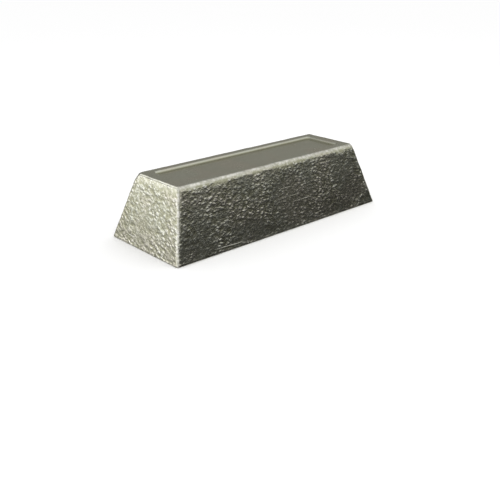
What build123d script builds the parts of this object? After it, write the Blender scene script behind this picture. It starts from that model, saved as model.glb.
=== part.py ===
"""A steel ingot: one cast bar with drafted ends and sides, rounded edges and a sunk panel on top.

Lengths run along X and widths along Y. The wide base lies on Z = 0 with the origin at its centre, and
the narrow face, which was the bottom of the mould, is on top. All sizes are in millimetres.
"""

import os
from math import radians, tan

from build123d import *

# Body: outlines of the base and of the top where the flat faces would meet with sharp edges
base_length = 300.0
base_width = 116.5
top_length = 258.0
top_width = 72.5
height = 72.0

# Rounds left by the mould: wide ones along the top, narrower ones around both ends and the base
long_edge_round = 6.5
end_edge_round = 3.5
base_edge_round = 1.2

# Sunk panel in the top face: flat rim around it, depth, slope of its walls and its own rounds
end_rim = 12.5
side_rim = 11.0
panel_depth = 2.5
panel_wall_slope_degrees = 45.0
panel_corner_round = 4.5
panel_floor_corner_round = 2.0
panel_mouth_round = 1.2
panel_floor_round = 1.2

# Panel outline at the rim, and at its floor where the sloped walls have run in
mouth_length = top_length - 2 * end_rim
mouth_width = top_width - 2 * side_rim
wall_run = panel_depth / tan(radians(panel_wall_slope_degrees))
floor_length = mouth_length - 2 * wall_run
floor_width = mouth_width - 2 * wall_run

top_plane = Plane.XY.offset(height)
panel_floor_plane = Plane.XY.offset(height - panel_depth)

with BuildPart() as ingot:
    # The drafted bar
    with BuildSketch():
        Rectangle(base_length, base_width)
    with BuildSketch(top_plane):
        Rectangle(top_length, top_width)
    loft(ruled=True)

    # Wide rounds along the top, then one round that runs up, over and down around each end
    top_face = ingot.faces().sort_by(Axis.Z)[-1]
    fillet(top_face.edges().filter_by(Axis.X), long_edge_round)
    near_end, *sides, far_end = ingot.faces().sort_by(Axis.X)
    end_outlines = near_end.edges() + far_end.edges()
    above_base = end_outlines.filter_by(lambda edge: edge.center().Z > base_edge_round)
    fillet(above_base, end_edge_round)

    # The sunk panel, which a raised pad in the bottom of the mould leaves
    with BuildSketch(top_plane):
        RectangleRounded(mouth_length, mouth_width, panel_corner_round)
    with BuildSketch(panel_floor_plane):
        RectangleRounded(floor_length, floor_width, panel_floor_corner_round)
    loft(ruled=True, mode=Mode.SUBTRACT)

    # Small rounds: flat faces from the lowest to the highest are the base, the panel's floor and the rim
    base_face, panel_floor, rim = ingot.faces().filter_by(Plane.XY).sort_by(Axis.Z)
    base_edges = base_face.outer_wire().edges()
    mouth_edges = rim.inner_wires().edges()
    floor_edges = panel_floor.outer_wire().edges()
    fillet(base_edges, base_edge_round)
    fillet(mouth_edges, panel_mouth_round)
    fillet(floor_edges, panel_floor_round)

ingot.part.label = "ingot"

os.makedirs("parts", exist_ok=True)
export_step(ingot.part, "parts/ingot.step")
print("ingot", round(ingot.part.volume), "cubic millimetres, size", ingot.part.bounding_box().size)
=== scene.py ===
# %% [markdown]
# # A cast steel ingot
# An ingot is steel that was poured into an iron mould, left to set and knocked out. Its ends and sides
# lean in so that it drops free, and its edges are round where the mould was round. A raised pad in the
# bottom of the mould leaves a shallow sunk panel in the narrow face, which is on top here.
# The exact solid comes packed from the CAD model. This lesson dresses it: first the cast skin as real
# relief, then the steel, then a plain studio to look at it in.

# %% Load the exact solid
import math

import bmesh
import bpy
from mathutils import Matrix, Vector


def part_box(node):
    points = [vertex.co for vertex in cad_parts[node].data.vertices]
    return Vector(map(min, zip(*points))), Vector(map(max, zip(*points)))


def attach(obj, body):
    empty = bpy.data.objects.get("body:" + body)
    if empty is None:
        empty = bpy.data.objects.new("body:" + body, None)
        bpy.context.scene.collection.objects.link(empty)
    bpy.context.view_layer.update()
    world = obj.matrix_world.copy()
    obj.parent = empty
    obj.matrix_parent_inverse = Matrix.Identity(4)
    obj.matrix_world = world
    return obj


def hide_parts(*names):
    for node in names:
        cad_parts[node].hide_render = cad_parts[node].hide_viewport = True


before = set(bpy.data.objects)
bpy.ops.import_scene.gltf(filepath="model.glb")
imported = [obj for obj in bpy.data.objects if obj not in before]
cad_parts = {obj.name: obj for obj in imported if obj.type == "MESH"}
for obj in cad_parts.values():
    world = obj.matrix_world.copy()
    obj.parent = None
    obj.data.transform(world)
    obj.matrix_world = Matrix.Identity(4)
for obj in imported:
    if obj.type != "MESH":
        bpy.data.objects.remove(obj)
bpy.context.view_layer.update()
MM = 0.001
ingot_low, ingot_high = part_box("ingot")
ingot_size = ingot_high - ingot_low
print("solid ingot, millimetres:", [round(side / MM, 2) for side in ingot_size])

# %% [markdown]
# ## Wiring nodes from a script
# Geometry and shader trees are both made of nodes and links. A few small helpers keep the recipes short:
# the first sets or links one input, the second adds a node and feeds its inputs by name, and the rest do
# arithmetic. A value may be a plain number or another node's output, and feed does what each one needs.


# %% Helpers: nodes
def feed(tree, socket, value):
    """Sets an input to a plain value, or links it to another node's output."""
    if isinstance(value, bpy.types.NodeSocket):
        tree.links.new(value, socket)
    else:
        socket.default_value = value


def add_node(tree, kind, inputs=(), **settings):
    """Adds a node with its settings, and feeds its inputs by name."""
    made = tree.nodes.new(kind)
    for name, value in settings.items():
        setattr(made, name, value)
    for name, value in dict(inputs).items():
        feed(tree, made.inputs[name], value)
    return made


print("node helpers ready")


# %% Helpers: arithmetic
def maths(tree, operation, *values):
    """Adds a Math node and returns its output."""
    made = add_node(tree, "ShaderNodeMath", operation=operation)
    for socket, value in zip(made.inputs, values):
        feed(tree, socket, value)
    return made.outputs[0]


def plus(tree, first, *others):
    """Adds values, from left to right."""
    for other in others:
        first = maths(tree, "ADD", first, other)
    return first


def minus(tree, first, *others):
    """Takes the other values away from the first."""
    for other in others:
        first = maths(tree, "SUBTRACT", first, other)
    return first


def times(tree, first, *others):
    """Multiplies values, from left to right."""
    for other in others:
        first = maths(tree, "MULTIPLY", first, other)
    return first


print("arithmetic helpers ready")


# %% Helpers: vectors
def vectors(tree, operation, *values):
    """Adds a Vector Math node and returns its vector output."""
    made = add_node(tree, "ShaderNodeVectorMath", operation=operation)
    for socket, value in zip(made.inputs, values):
        feed(tree, socket, value)
    return made.outputs["Vector"]


def split(tree, vector):
    """The three parts of a vector, by axis."""
    return add_node(tree, "ShaderNodeSeparateXYZ", {"Vector": vector}).outputs


def join(tree, parts):
    """A vector from its three parts, by axis."""
    return add_node(tree, "ShaderNodeCombineXYZ", parts).outputs[0]


print("vector helpers ready")

# %% [markdown]
# ## A block to carry the relief
# The cast skin is covered in shallow dimples a few millimetres across. A bump texture alone would leave the
# outline ruler-straight and would be lost in the exported mesh, so the dimples are real geometry.
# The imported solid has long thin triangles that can't be dented. So a finely gridded block is wrapped onto
# it: from a core inside the ingot a ray goes out through every grid point, and the point moves to where
# the ray meets the solid. The grid stays even, and the rounds and the sunk panel all come along.

# %% Copy the solid and merge its loose triangles
MERGE_DISTANCE = 0.001 * MM
RIM_TOLERANCE = 0.01 * MM
solid_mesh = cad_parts["ingot"].data.copy()
solid_mesh.name = "ingot_solid_copy"
merger = bmesh.new()
merger.from_mesh(solid_mesh)
bmesh.ops.remove_doubles(merger, verts=merger.verts, dist=MERGE_DISTANCE)
rim_points = [corner.co for corner in merger.verts if corner.co.z > ingot_high.z - RIM_TOLERANCE]
rim_length = 2 * max(point.x for point in rim_points)
rim_width = 2 * max(point.y for point in rim_points)
merger.to_mesh(solid_mesh)
merger.free()
solid_mesh.materials.clear()
print("flat rim, millimetres:", round(rim_length / MM, 2), "by", round(rim_width / MM, 2))

# %% [markdown]
# ## The skin as a Geometry Nodes tree
# The tree takes the merged solid, makes the gridded block, casts it onto the solid and then dents it.
# Every size is a named input, so the same tree would dress a longer or a rougher ingot. Sculpting by hand
# would also give such a skin, but it couldn't be made again at another size.

# %% Tree: named inputs
skin_counts = {"Cells Along": 274, "Cells Across": 100, "Cells Up": 80}
skin_sizes = {
    "Rim Length": rim_length,
    "Rim Width": rim_width,
    "Core Depth": 9 * MM,
    "Underside Cell": 12 * MM,
    "Wave Size": 42 * MM,
    "Wave Height": 0.25 * MM,
    "Dimple Size": 4.4 * MM,
    "Dimple Height": 0.8 * MM,
    "Corner Shade Start": 1.3 * MM,
    "Corner Shade Full": 2.1 * MM,
    "Shoulder Zone": 11 * MM,
    "Shoulder Depth": 0.6 * MM,
    "Long Shoulder Zone": 9 * MM,
    "Long Shoulder Depth": 0.7 * MM,
    "Edge Wave Size": 21 * MM,
    "Edge Wave Height": 2.4 * MM,
    "Corner Cut": -0.9 * MM,
    "Edge Cut": -2.9 * MM,
    "Blunt Blend": 4 * MM,
    "Skin Depth": 0.15 * MM,
    "Top Share": 0.13,
    "Side Share": 0.36,
    "End Grain": 1.3,
    "Seed": 7.0,
}
print("named inputs:", len(skin_counts) + len(skin_sizes))

# %% Tree: sockets
skin_tree = bpy.data.node_groups.new("Cast Skin", "GeometryNodeTree")
skin_tree.interface.new_socket("Geometry", in_out="OUTPUT", socket_type="NodeSocketGeometry")
skin_tree.interface.new_socket("Solid", in_out="INPUT", socket_type="NodeSocketGeometry")
for name in skin_counts:
    skin_tree.interface.new_socket(name, in_out="INPUT", socket_type="NodeSocketInt")
for name in skin_sizes:
    skin_tree.interface.new_socket(name, in_out="INPUT", socket_type="NodeSocketFloat")
skin_tree.interface.new_socket("Steel", in_out="INPUT", socket_type="NodeSocketMaterial")
given = skin_tree.nodes.new("NodeGroupInput").outputs
print("sockets of the tree:", len(skin_tree.interface.items_tree))

# %% Tree: the gridded block
solid_box = add_node(skin_tree, "GeometryNodeBoundBox", {"Geometry": given["Solid"]})
box_size = vectors(skin_tree, "SUBTRACT", solid_box.outputs["Max"], solid_box.outputs["Min"])
block = add_node(skin_tree, "GeometryNodeMeshCube", {"Size": box_size})
for axis, count in (("X", "Cells Along"), ("Y", "Cells Across"), ("Z", "Cells Up")):
    feed(skin_tree, block.inputs["Vertices " + axis], plus(skin_tree, given[count], 1.0))
print("block cells:", list(skin_counts.values()))

# %% [markdown]
# Each ray starts on a core, which has the ingot's own leaning shape and lies a little way inside it. A
# grid point of the block is first moved onto the leaning sides, where it is called outer. Its ray starts
# at the core's nearest point and goes out through it.


# %% Tree: heights of the block and its core
def clamp_between(value, limit):
    """Keeps a value between minus limit and limit."""
    capped = maths(skin_tree, "MINIMUM", value, limit)
    return maths(skin_tree, "MAXIMUM", capped, times(skin_tree, limit, -1.0))


size = split(skin_tree, box_size)
block_point = split(skin_tree, skin_tree.nodes.new("GeometryNodeInputPosition").outputs[0])
half_height = times(skin_tree, size["Z"], 0.5)
core_height = minus(skin_tree, half_height, given["Core Depth"])
outer = {"Z": plus(skin_tree, block_point["Z"], half_height)}
core = {"Z": plus(skin_tree, clamp_between(block_point["Z"], core_height), half_height)}
print("nodes so far:", len(skin_tree.nodes))

# %% Tree: where each ray starts and where it goes
RIMS = {"X": "Rim Length", "Y": "Rim Width"}


def half_width(axis, rim, height):
    """Half the ingot's length or width at a height, where the sides lean in towards the rim."""
    up = maths(skin_tree, "DIVIDE", height, size["Z"])
    lost = times(skin_tree, minus(skin_tree, size[axis], given[rim]), up)
    return times(skin_tree, minus(skin_tree, size[axis], lost), 0.5)


for axis, rim in RIMS.items():
    share = maths(skin_tree, "DIVIDE", block_point[axis], times(skin_tree, size[axis], 0.5))
    outer[axis] = times(skin_tree, half_width(axis, rim, outer["Z"]), share)
    core_half = minus(skin_tree, half_width(axis, rim, core["Z"]), given["Core Depth"])
    core[axis] = clamp_between(outer[axis], core_half)
core_point = join(skin_tree, core)
outward = vectors(skin_tree, "SUBTRACT", join(skin_tree, outer), core_point)
print("nodes so far:", len(skin_tree.nodes))

# %% [markdown]
# The underside is flat and rests on the floor, so it can do with a coarse grid. The points whose rays go
# straight down are marked before the block is wrapped. Afterwards they snap to a wide spacing, and those
# that fall together are merged, which leaves more of the triangles for the faces that show.

# %% Tree: mark the underside
STRAIGHT_DOWN = -0.9999


def keep_number(geometry, name, value):
    """Keeps a number under a name on every point, and returns the geometry."""
    stored = add_node(
        skin_tree,
        "GeometryNodeStoreNamedAttribute",
        {"Geometry": geometry, "Name": name, "Value": value},
        data_type="FLOAT",
        domain="POINT",
    )
    return stored.outputs["Geometry"]


ray_slope = split(skin_tree, vectors(skin_tree, "NORMALIZE", outward))["Z"]
straight_down = maths(skin_tree, "LESS_THAN", ray_slope, STRAIGHT_DOWN)
marked = keep_number(block.outputs["Mesh"], "under", straight_down)
print("nodes so far:", len(skin_tree.nodes))

# %% Tree: wrap the block onto the solid
RAY_LENGTH = 1.0
ray = add_node(
    skin_tree,
    "GeometryNodeRaycast",
    {
        "Target Geometry": given["Solid"],
        "Source Position": core_point,
        "Ray Direction": outward,
        "Ray Length": RAY_LENGTH,
    },
)
wrapped = add_node(
    skin_tree,
    "GeometryNodeSetPosition",
    {"Geometry": marked, "Position": ray.outputs["Hit Position"]},
)
print("nodes so far:", len(skin_tree.nodes))

# %% Tree: thin out the underside
under = add_node(skin_tree, "GeometryNodeInputNamedAttribute", {"Name": "under"}, data_type="FLOAT")
under_point = maths(skin_tree, "GREATER_THAN", under.outputs["Attribute"], 0.5)
fine_place = split(skin_tree, skin_tree.nodes.new("GeometryNodeInputPosition").outputs[0])
coarse = {axis: maths(skin_tree, "SNAP", fine_place[axis], given["Underside Cell"]) for axis in "XY"}
coarse_place = join(skin_tree, {**coarse, "Z": fine_place["Z"]})
thinned = add_node(
    skin_tree,
    "GeometryNodeSetPosition",
    {"Geometry": wrapped.outputs["Geometry"], "Selection": under_point, "Position": coarse_place},
)
merged = add_node(
    skin_tree,
    "GeometryNodeMergeByDistance",
    {"Geometry": thinned.outputs["Geometry"], "Selection": under_point, "Distance": MERGE_DISTANCE},
)
print("nodes so far:", len(skin_tree.nodes))

# %% [markdown]
# ## What the steel needs to know
# Cast steel is bright along rubbed edges, dark with scale in hollows, and coarse on some faces only, and
# the panel's inner corner gets a painted shade. A shader can't measure shapes like that, so the tree
# measures them
# and keeps four numbers on the points: edge, relief, skin, and the painted shade of the panel's inner
# corner.
# A point is on an edge where the skin faces along none of the ingot's flat sides. The panel's own rounds
# count as inside the rim, so they aren't rubbed.


# %% Tree: points that have turned onto an edge
def ramp(tree, value, low, high, start=0.0, end=1.0):
    """Start below low, end above high, and a soft ramp between them."""
    made = add_node(tree, "ShaderNodeMapRange", {"Value": value}, interpolation_type="SMOOTHSTEP")
    for name, level in (("From Min", low), ("From Max", high), ("To Min", start), ("To Max", end)):
        feed(tree, made.inputs[name], level)
    return made.outputs["Result"]


EDGE_FACING = 0.9
FLAT_FACING = 0.985
facing = skin_tree.nodes.new("GeometryNodeInputNormal").outputs["Normal"]
facing_part = split(skin_tree, facing)
flat_share = maths(skin_tree, "ABSOLUTE", facing_part["Z"])
for axis, rim in RIMS.items():
    lean = times(skin_tree, minus(skin_tree, size[axis], given[rim]), 0.5)
    slope = maths(skin_tree, "ARCTAN2", lean, size["Z"])
    across = maths(skin_tree, "ABSOLUTE", facing_part[axis])
    level_share = times(skin_tree, across, maths(skin_tree, "COSINE", slope))
    upward_share = times(skin_tree, facing_part["Z"], maths(skin_tree, "SINE", slope))
    lean_share = plus(skin_tree, level_share, upward_share)
    flat_share = maths(skin_tree, "MAXIMUM", flat_share, lean_share)
turned_edge = ramp(skin_tree, flat_share, EDGE_FACING, FLAT_FACING, 1.0, 0.0)
print("nodes so far:", len(skin_tree.nodes))

# %% Tree: outside the rim, and the edge measure
RIM_BLEND = 1 * MM
place = skin_tree.nodes.new("GeometryNodeInputPosition").outputs[0]
place_part = split(skin_tree, place)
outside = 0.0
for axis, rim in RIMS.items():
    half_rim = times(skin_tree, given[rim], 0.5)
    beyond = minus(skin_tree, maths(skin_tree, "ABSOLUTE", place_part[axis]), half_rim)
    outside = maths(skin_tree, "MAXIMUM", outside, ramp(skin_tree, beyond, -RIM_BLEND, 0.0))
edge = times(skin_tree, turned_edge, outside)
print("nodes so far:", len(skin_tree.nodes))

# %% Tree: painted shade in the panel's inner corner
TILTED_FACING = 0.94
LEVEL_FACING = 0.995
below_rim = minus(skin_tree, size["Z"], place_part["Z"])
low_down = ramp(skin_tree, below_rim, given["Corner Shade Start"], given["Corner Shade Full"])
tilted = ramp(skin_tree, facing_part["Z"], TILTED_FACING, LEVEL_FACING, 1.0, 0.0)
inside = minus(skin_tree, 1.0, outside)
# Painted shade: a darker line in the panel's inner corner, where shade falls.
corner_shade = times(skin_tree, tilted, low_down, inside)
print("nodes so far:", len(skin_tree.nodes))

# %% [markdown]
# ## Waves and dimples
# Slow waves come from the steel shrinking as it sets, and dimples from the coarse wash that is brushed
# into the mould. The dimples are longer one way than the other, as the brush leaves them. Both are noise,
# which Blender works out anywhere in space, so they run around the corners without a seam. Finer grain
# than the dimples would take too many triangles, and stays in the material as bump.


# %% Tree: noise as a height
def noise_height(where, spacing, height, detail=1.0, twist=0.0, fine_share=0.5):
    """Noise of one size, from minus half its height to plus half."""
    texture = add_node(
        skin_tree,
        "ShaderNodeTexNoise",
        {
            "Vector": where,
            "W": given["Seed"],
            "Scale": maths(skin_tree, "DIVIDE", 1.0, spacing),
            "Detail": detail,
            "Roughness": fine_share,
            "Distortion": twist,
        },
        noise_dimensions="4D",
    )
    return times(skin_tree, minus(skin_tree, texture.outputs[0], 0.5), height)


waves = noise_height(place, given["Wave Size"], given["Wave Height"])
print("nodes so far:", len(skin_tree.nodes))

# %% Tree: dimples along a slant
STROKE_SLANT = math.radians(18)
DIMPLE_STRETCH = (0.5, 0.42, 1.0)
DIMPLE_TWIST = 0.15
DIMPLE_FINE_SHARE = 0.9


def slanted(tree, where, stretch):
    """A place turned about the ingot's length and then stretched, so that dents draw out along a slant."""
    slant = {"Vector": where, "Angle": -STROKE_SLANT}
    turned = add_node(tree, "ShaderNodeVectorRotate", slant, rotation_type="X_AXIS")
    return vectors(tree, "MULTIPLY", turned.outputs["Vector"], stretch)


dimples = noise_height(
    slanted(skin_tree, place, DIMPLE_STRETCH),
    given["Dimple Size"],
    given["Dimple Height"],
    twist=DIMPLE_TWIST,
    fine_share=DIMPLE_FINE_SHARE,
)
print("nodes so far:", len(skin_tree.nodes))

# %% [markdown]
# The dimples aren't the same everywhere. They come in busier and quieter patches. The top was cast
# against the smooth bottom of the mould and gets only a small share, with a ragged border along its
# edges. The long sides are flatter than the ends, which have the strongest grain.

# %% Tree: how much of the skin each face gets
PATCH_BORDER = 0.12
QUIET_PATCH = 0.65
BUSY_PATCH = 1.22
RAGGED_REACH = 0.6
TOP_STARTS = 0.38
TOP_FULL = 0.68
patches = noise_height(place, given["Wave Size"], 1.0, detail=2.0)
patch_share = ramp(skin_tree, patches, -PATCH_BORDER, PATCH_BORDER, QUIET_PATCH, BUSY_PATCH)
ragged = noise_height(place, given["Edge Wave Size"], RAGGED_REACH, detail=2.0)
ragged_up = plus(skin_tree, facing_part["Z"], ragged)
top_share = ramp(skin_tree, ragged_up, TOP_STARTS, TOP_FULL, 1.0, given["Top Share"])
skin_share = times(skin_tree, patch_share, top_share)
print("nodes so far:", len(skin_tree.nodes))

# %% Tree: sides and ends
FACE_STARTS = 0.5
FACE_FULL = 0.8
toward_side = maths(skin_tree, "ABSOLUTE", facing_part["Y"])
toward_end = maths(skin_tree, "ABSOLUTE", facing_part["X"])
side_share = ramp(skin_tree, toward_side, FACE_STARTS, FACE_FULL, 1.0, given["Side Share"])
end_grain = ramp(skin_tree, toward_end, FACE_STARTS, FACE_FULL, 1.0, given["End Grain"])
rough = times(skin_tree, dimples, side_share, skin_share)
grain_share = times(skin_tree, skin_share, end_grain)
print("nodes so far:", len(skin_tree.nodes))

# %% [markdown]
# ## Worn edges and shoulders
# Edges are knocked and rubbed whenever the ingot is moved, so they are uneven, with shallow notches that
# are a few millimetres long and more. Below the top edges the faces bend away a little before they run
# straight down: all along the ends, and in patches along the sides. A bevel would give one even round,
# so noise and soft ramps by height do it instead.

# %% Tree: uneven edges
EDGE_DETAIL = 3.0
EDGE_FINE_SHARE = 0.75
edge_noise = noise_height(
    place,
    given["Edge Wave Size"],
    given["Edge Wave Height"],
    detail=EDGE_DETAIL,
    fine_share=EDGE_FINE_SHARE,
)
edge_waves = times(skin_tree, edge_noise, edge)
print("nodes so far:", len(skin_tree.nodes))

# %% Tree: shoulders under the top edges
SHOULDER_STARTS = 0.3
SHOULDER_FULL = 0.7
SHOULDER_RUB = 0.8


def under_top_edge(zone, toward):
    """1 at the top of the faces that look one way, and 0 below the zone and on the other faces."""
    zone_start = minus(skin_tree, size["Z"], given[zone])
    up = ramp(skin_tree, place_part["Z"], zone_start, size["Z"])
    return times(skin_tree, up, ramp(skin_tree, toward, SHOULDER_STARTS, SHOULDER_FULL))


shoulder = times(skin_tree, under_top_edge("Shoulder Zone", toward_end), outside)
long_noise = noise_height(place, given["Edge Wave Size"], 1.0, detail=2.0)
long_patch = ramp(skin_tree, long_noise, -PATCH_BORDER, PATCH_BORDER)
long_zone = under_top_edge("Long Shoulder Zone", toward_side)
long_shoulder = times(skin_tree, long_zone, long_patch, outside)
rubbed_edge = maths(skin_tree, "MAXIMUM", edge, times(skin_tree, shoulder, SHOULDER_RUB))
print("nodes so far:", len(skin_tree.nodes))

# %% [markdown]
# The whole skin lies a little below the solid, so that its bumps stay within the ingot's exact size. Near
# the floor all of this fades out, because the base stays flat to stand on.

# %% Tree: the sum of the relief
FOOT_START = 0.3 * MM
FOOT_END = 4 * MM
uneven = plus(skin_tree, rough, waves, edge_waves)
uneven = minus(skin_tree, uneven, times(skin_tree, long_shoulder, given["Long Shoulder Depth"]))
uneven = minus(skin_tree, uneven, times(skin_tree, shoulder, given["Shoulder Depth"]))
height = minus(skin_tree, uneven, given["Skin Depth"])
above_foot = ramp(skin_tree, place_part["Z"], FOOT_START, FOOT_END)
relief_height = times(skin_tree, height, above_foot)
print("nodes so far:", len(skin_tree.nodes))

# %% [markdown]
# ## One blunted corner
# One upper corner has been knocked blunt. Two slanting planes cut across it, one for the corner and one
# for the edge that runs down from it. A soft maximum of a point's depth and the plane's depth tells how far
# the point has to go in, and the blend keeps the new faces round. A bevel would be too even for a knock.

# %% Tree: dents and the blunted corner
BLUNT_CUTS = {"Corner Cut": Vector((1.0, -1.0, -2.0)), "Edge Cut": Vector((1.0, -1.0, -0.75))}


def scaled(direction, length):
    """A direction times a length."""
    made = add_node(skin_tree, "ShaderNodeVectorMath", {"Scale": length}, operation="SCALE")
    feed(skin_tree, made.inputs[0], direction)
    return made.outputs["Vector"]


def depth_along(where, direction):
    """How far a place lies along a direction."""
    made = add_node(skin_tree, "ShaderNodeVectorMath", operation="DOT_PRODUCT")
    feed(skin_tree, made.inputs[0], where)
    feed(skin_tree, made.inputs[1], direction)
    return made.outputs["Value"]


blunt_corner = {
    "X": times(skin_tree, given["Rim Length"], -0.5),
    "Y": times(skin_tree, given["Rim Width"], 0.5),
    "Z": size["Z"],
}
from_corner = vectors(skin_tree, "SUBTRACT", place, join(skin_tree, blunt_corner))
offset = scaled(facing, relief_height)
for cut, direction in BLUNT_CUTS.items():
    inward = direction.normalized()
    depth = depth_along(from_corner, inward)
    blunted = maths(skin_tree, "SMOOTH_MAX", depth, given[cut], given["Blunt Blend"])
    push = minus(skin_tree, blunted, depth)
    offset = vectors(skin_tree, "ADD", offset, scaled(inward, push))
print("nodes so far:", len(skin_tree.nodes))

# %% Tree: keep the measures, move the points and finish
measures = {"edge": rubbed_edge, "relief": relief_height, "skin": grain_share, "corner_shade": corner_shade}
measured = merged.outputs["Geometry"]
for name, value in measures.items():
    measured = keep_number(measured, name, value)
dented = add_node(skin_tree, "GeometryNodeSetPosition", {"Geometry": measured, "Offset": offset})
smoothed = add_node(skin_tree, "GeometryNodeSetShadeSmooth", {"Geometry": dented.outputs["Geometry"]})
realized = add_node(skin_tree, "GeometryNodeRealizeInstances", {"Geometry": smoothed.outputs["Geometry"]})
steeled = add_node(
    skin_tree,
    "GeometryNodeSetMaterial",
    {"Geometry": realized.outputs["Geometry"], "Material": given["Steel"]},
)
result = skin_tree.nodes.new("NodeGroupOutput")
feed(skin_tree, result.inputs["Geometry"], steeled.outputs["Geometry"])
print("skin nodes:", len(skin_tree.nodes))

# %% [markdown]
# ## The steel
# Bare cast steel is a warm grey metal. It is a little darker and duller in its hollows, where scale stays,
# and brighter along its edges, where handling has rubbed it. The tops of the bumps are lighter, partly
# rubbed and partly a painted glint, and the panel's inner corner is darkened with painted shade.
# A fully metallic shader gives the reflections, so its colour is the colour of the highlights. The
# patterns read Object coordinates and the four kept numbers, so they sit still on the ingot.

# %% Steel: shader and kept measures
GRAZING_TINT = (1.0, 0.98, 0.88, 1.0)
steel = bpy.data.materials.new("cast_steel")
steel.use_nodes = True
steel_tree = steel.node_tree
shader = steel_tree.nodes["Principled BSDF"]
shader.inputs["Metallic"].default_value = 1.0
shader.inputs["Specular Tint"].default_value = GRAZING_TINT
coordinates = steel_tree.nodes.new("ShaderNodeTexCoord").outputs["Object"]
kept = {}
for name in measures:
    kept[name] = add_node(steel_tree, "ShaderNodeAttribute", attribute_name=name).outputs["Fac"]
print("kept measures:", list(kept))


# %% Steel: slow mottling
def noise(where, scale, detail, **more):
    """A noise texture in the steel."""
    return add_node(
        steel_tree,
        "ShaderNodeTexNoise",
        {"Vector": where, "Scale": scale, "Detail": detail, **more},
    )


MOTTLE_SCALE = 45.0
MOTTLE_DETAIL = 4.0
mottle = noise(coordinates, MOTTLE_SCALE, MOTTLE_DETAIL).outputs[0]
print("steel nodes so far:", len(steel_tree.nodes))

# %% [markdown]
# The fine grain has two parts. Lumps, 3 to 5 mm apart, are the cells of a Voronoi texture, which is round
# around scattered points. They are warped so that no two are alike, and stronger in some clusters. Grit is
# a rough noise of the same size and finer. Both are drawn out along the slant of the dimples.

# %% Steel: lumps
LUMP_STRETCH = (0.62, 0.6, 1.0)
LUMP_SCALE = 330.0
WARP_SCALE = 260.0
WARP_DETAIL = 1.0
WARP_REACH = 1.8 * MM
LUMP_TOP = 0.05
LUMP_FOOT = 0.6
CLUSTER_FROM, CLUSTER_TO = 0.4, 0.6
WEAK_CLUSTER, STRONG_CLUSTER = 0.55, 1.25
lump_place = slanted(steel_tree, coordinates, LUMP_STRETCH)
warp = noise(coordinates, WARP_SCALE, WARP_DETAIL).outputs["Color"]
shift = vectors(steel_tree, "SUBTRACT", warp, (0.5, 0.5, 0.5))
warped = vectors(steel_tree, "MULTIPLY_ADD", shift, (WARP_REACH, WARP_REACH, WARP_REACH), lump_place)
cells = add_node(steel_tree, "ShaderNodeTexVoronoi", {"Vector": warped, "Scale": LUMP_SCALE}, feature="F1")
round_lumps = ramp(steel_tree, cells.outputs["Distance"], LUMP_TOP, LUMP_FOOT, 1.0, 0.0)
cluster = ramp(steel_tree, mottle, CLUSTER_FROM, CLUSTER_TO, WEAK_CLUSTER, STRONG_CLUSTER)
lumps = times(steel_tree, round_lumps, cluster)
print("steel nodes so far:", len(steel_tree.nodes))

# %% Steel: grit and the whole grain
GRIT_STRETCH = (0.6, 0.6, 1.0)
GRIT_SCALE = 350.0
GRIT_DETAIL = 2.0
GRIT_FINE_SHARE = 0.8
LUMP_PART = 0.28
GRIT_PART = 0.72
grit_place = slanted(steel_tree, coordinates, GRIT_STRETCH)
grit = noise(grit_place, GRIT_SCALE, GRIT_DETAIL, Roughness=GRIT_FINE_SHARE).outputs[0]
grain = plus(steel_tree, times(steel_tree, lumps, LUMP_PART), times(steel_tree, grit, GRIT_PART))
print("steel nodes so far:", len(steel_tree.nodes))

# %% [markdown]
# A few hairline scratches run along the ingot, left when it was slid about. They are the highest peaks
# of a noise that is stretched very long. The shift moves one of them to the middle of the long side.

# %% Steel: hairline scratches
SCRATCH_SHIFT = (71.1 * MM, 4.07 * MM, 13.33 * MM)
SCRATCH_STRETCH = (0.04, 0.04, 1.0)
SCRATCH_SCALE = 620.0
SCRATCH_STARTS = 0.81
SCRATCH_FULL = 0.88
scratch_origin = vectors(steel_tree, "SUBTRACT", coordinates, SCRATCH_SHIFT)
scratch_place = vectors(steel_tree, "MULTIPLY", scratch_origin, SCRATCH_STRETCH)
scratch_peak = noise(scratch_place, SCRATCH_SCALE, detail=0.0).outputs[0]
scratch_line = ramp(steel_tree, scratch_peak, SCRATCH_STARTS, SCRATCH_FULL)
scratch = times(steel_tree, scratch_line, kept["skin"])
print("steel nodes so far:", len(steel_tree.nodes))

# %% [markdown]
# Two masks say where the steel is darker and where it is lighter. Scale stays in the hollows of the relief
# and in the low spots of the grain, and the panel's inner corner gets a painted shade. Rubbed steel shows
# on worn edges, where the grain's low spots break it up, and in the scratches. The tops of the grain are
# partly rubbed and partly a painted glint.

# %% Steel: scale in hollows, and painted shade in the inner corner
HOLLOW_DEPTH = 0.45 * MM
HOLLOW_PART = 0.6
LOW_GRAIN, MIDDLE_GRAIN = 0.28, 0.5
LOW_GRAIN_PART = 0.8
hollow = ramp(steel_tree, kept["relief"], -HOLLOW_DEPTH, 0.0, 1.0, 0.0)
low_spot = ramp(steel_tree, grain, LOW_GRAIN, MIDDLE_GRAIN, LOW_GRAIN_PART, 0.0)
fine_hollow = times(steel_tree, low_spot, kept["skin"])
hollows = plus(steel_tree, times(steel_tree, hollow, HOLLOW_PART), fine_hollow)
# The painted shade of the panel's inner corner is added to the scale here.
scale_and_corner_shade = maths(steel_tree, "MINIMUM", plus(steel_tree, hollows, kept["corner_shade"]), 1.0)
print("steel nodes so far:", len(steel_tree.nodes))

# %% Steel: rubbed edges and scratches, and grain tops partly painted as glints
HIGH_GRAIN, TOP_GRAIN = 0.48, 0.72
TOP_GLINT_PART = 0.6
WORN_FROM, WORN_TO = 0.28, 0.55
WORN_LEAST = 0.35
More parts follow.
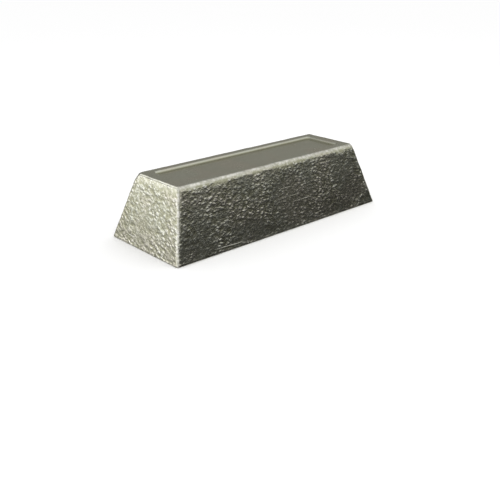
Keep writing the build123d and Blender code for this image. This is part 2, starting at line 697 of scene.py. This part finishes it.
# The tops of the grain are partly rubbed and partly a painted glint, lighter under any light.
grain_top_glint = times(steel_tree, ramp(steel_tree, grain, HIGH_GRAIN, TOP_GRAIN), kept["skin"])
worn = ramp(steel_tree, grain, WORN_FROM, WORN_TO, WORN_LEAST, 1.0)
worn_edge = times(steel_tree, kept["edge"], worn)
worn_and_glinting_top = times(steel_tree, grain_top_glint, TOP_GLINT_PART)
rubbed_and_glint = maths(steel_tree, "MAXIMUM", worn_edge, worn_and_glinting_top)
rubbed_and_glint = maths(steel_tree, "MAXIMUM", rubbed_and_glint, scratch)
print("steel nodes so far:", len(steel_tree.nodes))

# %% [markdown]
# The colour is mixed in three steps: from a cool to a warm grey in broad patches, then to the dark of
# scale and of the painted shade in the panel's inner corner, then to rubbed steel and the painted glints
# on the grain tops. The gloss is uneven with the mottling, and edges are a little smoother.
# The grain only has to catch the light, so it is bump, with the scratches cut into it.

# %% Steel: colour
COOL_STEEL = (0.46, 0.466, 0.398, 1.0)
WARM_STEEL = (0.48, 0.458, 0.39, 1.0)
SCALE_AND_SHADE_STEEL = (0.266, 0.264, 0.188, 1.0)
RUBBED_AND_GLINT_STEEL = (0.62, 0.612, 0.56, 1.0)
TINT_SCALE = 24.0
TINT_DETAIL = 2.0
TINT_FROM, TINT_TO = 0.4, 0.6


def mix_colour(share, first, second):
    """Goes from the first colour to the second as the share goes from 0 to 1."""
    made = add_node(steel_tree, "ShaderNodeMix", data_type="RGBA")
    feed(steel_tree, made.inputs["Factor"], share)
    colours = [socket for socket in made.inputs if socket.type == "RGBA"]
    feed(steel_tree, colours[0], first)
    feed(steel_tree, colours[1], second)
    return [socket for socket in made.outputs if socket.type == "RGBA"][0]


tint = noise(coordinates, TINT_SCALE, TINT_DETAIL).outputs[0]
bare = mix_colour(ramp(steel_tree, tint, TINT_FROM, TINT_TO), COOL_STEEL, WARM_STEEL)
# Dark: scale, and the painted shade of the panel's inner corner. Light: rubbed steel, and the painted
# glints on the grain tops.
scale_and_shade_grey = mix_colour(scale_and_corner_shade, bare, SCALE_AND_SHADE_STEEL)
feed(steel_tree, shader.inputs["Base Color"], mix_colour(rubbed_and_glint, scale_and_shade_grey, RUBBED_AND_GLINT_STEEL))
print("steel nodes so far:", len(steel_tree.nodes))

# %% Steel: gloss and bump
LEAST_ROUGHNESS = 0.19
MOTTLED_ROUGHNESS = 0.12
EDGE_POLISH = 0.07
SCRATCH_DEPTH = 0.25
GRAIN_HEIGHT = 0.5 * MM
mottled = plus(steel_tree, times(steel_tree, mottle, MOTTLED_ROUGHNESS), LEAST_ROUGHNESS)
roughness = minus(steel_tree, mottled, times(steel_tree, kept["edge"], EDGE_POLISH))
feed(steel_tree, shader.inputs["Roughness"], roughness)
grain_height = times(steel_tree, grain, kept["skin"])
bump_height = minus(steel_tree, grain_height, times(steel_tree, scratch, SCRATCH_DEPTH))
bump_inputs = {"Strength": 1.0, "Distance": GRAIN_HEIGHT, "Height": bump_height}
bump = add_node(steel_tree, "ShaderNodeBump", bump_inputs)
feed(steel_tree, shader.inputs["Normal"], bump.outputs["Normal"])
print("steel nodes:", len(steel_tree.nodes))

# %% [markdown]
# ## Make the skin
# The tree runs as a modifier on the merged copy. Its result is turned into a plain mesh and the modifier
# goes, because the export takes meshes only. The piece then rides on the ingot's body and stands in for it.

# %% Run the tree
skin = bpy.data.objects.new("ingot_cast_skin", solid_mesh)
bpy.context.scene.collection.objects.link(skin)
modifier = skin.modifiers.new("Cast Skin", "NODES")
modifier.node_group = skin_tree
skin_inputs = {**skin_counts, **skin_sizes, "Steel": steel}
for socket in skin_tree.interface.items_tree:
    if socket.in_out == "INPUT" and socket.name in skin_inputs:
        modifier[socket.identifier] = skin_inputs[socket.name]
evaluated = skin.evaluated_get(bpy.context.evaluated_depsgraph_get())
skin_mesh = bpy.data.meshes.new_from_object(evaluated)
skin.modifiers.clear()
skin.data = skin_mesh
skin_mesh.name = "ingot_cast_skin"
# The first material slot is empty, and the steel is in the second
skin_mesh.materials.pop(index=0)
print("materials of the skin:", [finish.name for finish in skin_mesh.materials])

# %% Check the mesh and let it stand for the ingot
CUBIC_CM = 1e-6
skin_mesh.calc_loop_triangles()
checker = bmesh.new()
checker.from_mesh(skin_mesh)
open_edges = sum(not side.is_manifold for side in checker.edges)
volume = checker.calc_volume() / CUBIC_CM
checker.free()
print("skin triangles:", len(skin_mesh.loop_triangles))
print("open edges:", open_edges, "volume, cubic centimetres:", round(volume, 1))
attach(skin, "root")
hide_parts("ingot")

# %% [markdown]
# ## Floor
# The ingot lies on a wide white floor, so pale that it runs into the white sky and shows only the ingot's
# soft shadow. It is matt, and lies a hair below the base, because two faces in one plane would flicker.

# %% Floor
FLOOR_WHITE = (0.985, 0.985, 0.985, 1.0)
FLOOR_ROUGHNESS = 0.9
FLOOR_REACH = 12.0
FLOOR_DROP = 0.02 * MM


def stage_mesh(name, points, faces):
    """A stage object from points and faces."""
    mesh = bpy.data.meshes.new(name)
    mesh.from_pydata(points, [], faces)
    thing = bpy.data.objects.new(name, mesh)
    bpy.context.scene.collection.objects.link(thing)
    return thing


floor_corners = [(x, y, -FLOOR_DROP) for x, y in (
    (-FLOOR_REACH, -FLOOR_REACH),
    (FLOOR_REACH, -FLOOR_REACH),
    (FLOOR_REACH, FLOOR_REACH),
    (-FLOOR_REACH, FLOOR_REACH),
)]
floor = stage_mesh("floor", floor_corners, [(0, 1, 2, 3)])
paint = bpy.data.materials.new("floor_paint")
paint.use_nodes = True
floor_shader = paint.node_tree.nodes["Principled BSDF"]
floor_shader.inputs["Base Color"].default_value = FLOOR_WHITE
floor_shader.inputs["Roughness"].default_value = FLOOR_ROUGHNESS
floor_shader.inputs["Specular IOR Level"].default_value = 0.0
floor.data.materials.append(paint)
print("floor, metres across:", 2 * FLOOR_REACH)

# %% [markdown]
# ## Cards
# Metal shows what is around it, so in a studio it stands between dark and bright cards. A dark one
# makes the long side dark, a bright one lights the end, and a graded one behind gives the top its grey.
# Each card is a grid of points with a level of glow, and shows in reflections and nowhere else.

# %% Cards: glow
card_glow = bpy.data.materials.new("card_glow")
card_glow.use_nodes = True
glow_tree = card_glow.node_tree
glow_tree.nodes.clear()
card_level = add_node(glow_tree, "ShaderNodeAttribute", attribute_name="level").outputs["Fac"]
emission = add_node(glow_tree, "ShaderNodeEmission", {"Strength": card_level})
add_node(glow_tree, "ShaderNodeOutputMaterial", {"Surface": emission.outputs[0]})


def only_reflected(card, levels):
    """The card glows at a level for each point, and shows in reflections and nowhere else."""
    card.data.materials.append(card_glow)
    card.data.attributes.new("level", "FLOAT", "POINT").data.foreach_set("value", levels)
    card.visible_camera = False
    card.visible_diffuse = False
    card.visible_shadow = False
    card.visible_transmission = False
    card.visible_volume_scatter = False


print("glow nodes:", len(glow_tree.nodes))


# %% Cards: a grid of points and levels
def grid_card(name, columns):
    """A card through columns of points, each with its own level."""
    rows = len(columns[0])
    points = [point for column in columns for point, level in column]
    levels = [level for column in columns for point, level in column]
    faces = []
    for left in range(len(columns) - 1):
        for row in range(rows - 1):
            low = left * rows + row
            next_low = low + rows
            faces.append((low, next_low, next_low + 1, low + 1))
    only_reflected(stage_mesh(name, points, faces), levels)
    print(name, "points:", len(points))


print("card helpers ready")


# %% [markdown]
# The standing cards curve around the ingot. Each list below gives elevations in degrees with a level of
# glow for each, and a card goes from one list to the next as it turns from azimuth to azimuth. The
# number beside a card's stops is its distance in metres.

# %% Cards: levels of the standing cards
DARK = ((0, 0.03), (3, 0.035), (11, 0.1), (18.2, 0.32))
DARK_LOW = ((0, 0.03), (2, 0.035), (9, 0.1), (15, 0.32))
LIGHT_LEFT = ((0, 1.25), (30, 1.25), (42, 1.25), (55, 1.25), (75, 1.25))
LIGHT_RIGHT = ((0, 0.36), (30, 0.36), (42, 0.47), (55, 0.78), (75, 1.2))
BRIGHT = ((0, 1.4), (10, 2.43), (25, 2.07), (40, 1.45), (60, 1.3))
TURNING = ((0, 1.2), (10, 1.95), (25, 1.8), (40, 1.35), (60, 1.2))
MIDDLE = ((0, 1.0), (10, 1.1), (25, 1.1), (40, 1.0), (60, 0.9))
SHADE = ((0, 0.1), (10, 0.1), (25, 0.1), (40, 0.1), (60, 0.1))
DARK_STOPS = ((262, DARK), (300, DARK), (322, DARK_LOW), (352, DARK_LOW))
GRADED_STOPS = ((-98, LIGHT_LEFT), (-30, LIGHT_LEFT), (30, LIGHT_RIGHT), (108, LIGHT_RIGHT))
BRIGHT_STOPS = (
    (112, BRIGHT),
    (150, BRIGHT),
    (170, TURNING),
    (215, MIDDLE),
    (243, MIDDLE),
    (251, SHADE),
    (262, SHADE),
)
STANDING_CARDS = {
    "dark_flag": (3.0, DARK_STOPS),
    "graded_card": (3.2, GRADED_STOPS),
    "bright_card": (3.2, BRIGHT_STOPS),
}
print("standing cards:", list(STANDING_CARDS))

# %% Cards: standing ones
CARD_STEPS = 10


def blend(first, second, share):
    """Goes from the first number to the second as the share goes from 0 to 1."""
    return first + (second - first) * share


def standing_column(distance, azimuth, rows):
    """Points one above the other: an elevation in degrees and a level for each."""
    angle = math.radians(azimuth)
    foot = (distance * math.cos(angle), distance * math.sin(angle))
    return [((*foot, distance * math.tan(math.radians(rise))), level) for rise, level in rows]


for name, (distance, stops) in STANDING_CARDS.items():
    columns = []
    for (azimuth, rows), (next_azimuth, next_rows) in zip(stops, stops[1:]):
        for step in range(CARD_STEPS + 1):
            share = step / CARD_STEPS
            mixed = [[blend(a, b, share) for a, b in zip(*pair)] for pair in zip(rows, next_rows)]
            columns.append(standing_column(distance, blend(azimuth, next_azimuth, share), mixed))
    grid_card(name, columns)

# %% [markdown]
# The lying cards hide the white floor from the steel, because bumps that face down would else shine white.
# Each has two edges along X, given by their Y, and stops along X with a level of glow.

# %% Cards: lying ones
CARD_LIFT = 0.5 * MM
LYING_CARDS = {
    "dark_floor_card": (-3.2, -0.058, ((-0.15, 0.05), (3.2, 0.05))),
    "back_floor_card": (0.06, 3.2, ((-0.15, 0.3), (3.2, 0.3))),
    "low_floor_card": (-2.0, 3.2, ((-3.2, 1.2), (-0.6, 1.1), (-0.4, 0.9), (-0.29, 0.68), (-0.15, 0.46))),
}
for name, (y_from, y_to, stops) in LYING_CARDS.items():
    columns = []
    for x, level in stops:
        columns.append([((x, y_from, CARD_LIFT), level), ((x, y_to, CARD_LIFT), level)])
    grid_card(name, columns)

# %% [markdown]
# ## Sky and lamp
# A plain white sky lights the ingot evenly, at a level where colours come out about as they are written.
# One weak, wide lamp above it adds a soft shadow on the floor. The steel doesn't show the lamp.

# %% Sky
SKY_WHITE = (1.0, 1.0, 1.0, 1.0)
SKY_LEVEL = 1.0
world = bpy.data.worlds.new("studio")
bpy.context.scene.world = world
world.use_nodes = True
background = world.node_tree.nodes["Background"]
background.inputs["Color"].default_value = SKY_WHITE
background.inputs["Strength"].default_value = SKY_LEVEL
# An even sky has no bright spots that would have to be sought out
world.cycles.sampling_method = "NONE"
print("sky level:", SKY_LEVEL)

# %% Lamp
LAMP_SIZE = 0.9
LAMP_WATTS = 3.0
LAMP_DISTANCE = 1.4
LAMP_DIRECTION = (0.25, -0.15, 1.0)
lamp_data = bpy.data.lights.new("soft_key", "AREA")
lamp_data.shape = "SQUARE"
lamp_data.size = LAMP_SIZE
lamp_data.energy = LAMP_WATTS
lamp = bpy.data.objects.new("soft_key", lamp_data)
bpy.context.scene.collection.objects.link(lamp)
toward = Vector(LAMP_DIRECTION).normalized()
lamp.location = toward * LAMP_DISTANCE
lamp.rotation_euler = toward.to_track_quat("Z", "Y").to_euler()
lamp.visible_camera = False
lamp.visible_glossy = False
print("lamp, watts:", LAMP_WATTS)

# %% [markdown]
# ## Camera
# The camera stands off one corner of the ingot and looks down on it a little, so that an end, a long side
# and the top all show. Its place was fitted to the ingot's edges in the photograph.

# %% Camera
CAMERA_LENS = 50.0
CAMERA_SENSOR = 36.0
CAMERA_PLACE = (-0.50676, -0.55323, 0.27358)
CAMERA_LOOK = (0.62109, 0.68215, -0.38590)
camera_data = bpy.data.cameras.new("camera")
camera_data.lens = CAMERA_LENS
camera_data.sensor_width = CAMERA_SENSOR
camera = bpy.data.objects.new("camera", camera_data)
bpy.context.scene.collection.objects.link(camera)
camera.location = CAMERA_PLACE
camera.rotation_euler = Vector(CAMERA_LOOK).to_track_quat("-Z", "Y").to_euler()
bpy.context.scene.camera = camera
bpy.context.scene.view_settings.view_transform = "Standard"
print("camera, metres from the origin:", round(camera.location.length, 3))
